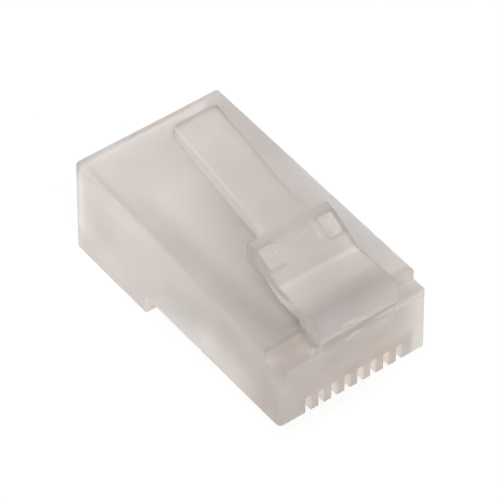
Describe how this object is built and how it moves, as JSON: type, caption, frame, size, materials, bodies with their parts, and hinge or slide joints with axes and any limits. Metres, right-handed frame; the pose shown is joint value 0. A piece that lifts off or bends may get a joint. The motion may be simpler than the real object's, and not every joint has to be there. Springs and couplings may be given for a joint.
{
  "type": "rj45 modular plug",
  "caption": "Clear modular plug for structured cabling, with combed contacts, a cable cavity and a sprung release latch.",
  "frame": {"origin": "middle of the overall box, at its lowest face, which is the contact side of the deep rear section", "axes": "+Y from the nose to the cable entry, +Z from the contact side to the latch side, +X across the plug"},
  "size_m": [0.0118, 0.022, 0.0124],
  "materials": {
    "milky_plastic": "milky translucent moulding, satin",
    "gold_plating": "gold plated"
  },
  "bodies": {
    "body": {"housing": "milky_plastic", "contact_1": "gold_plating", "contact_2": "gold_plating", "contact_3": "gold_plating", "contact_4": "gold_plating", "contact_5": "gold_plating", "contact_6": "gold_plating", "contact_7": "gold_plating", "contact_8": "gold_plating"},
    "latch": {"latch_arm": "milky_plastic"}
  },
  "joints": [
    {"name": "latch_flex", "type": "hinge", "parent": "body", "child": "latch", "pos_m": [0, -0.00867, 0.00852], "axis": [-1, 0, 0], "range_deg": [0, 14], "stiffness_Nm_per_rad": 0.25}
  ]
}
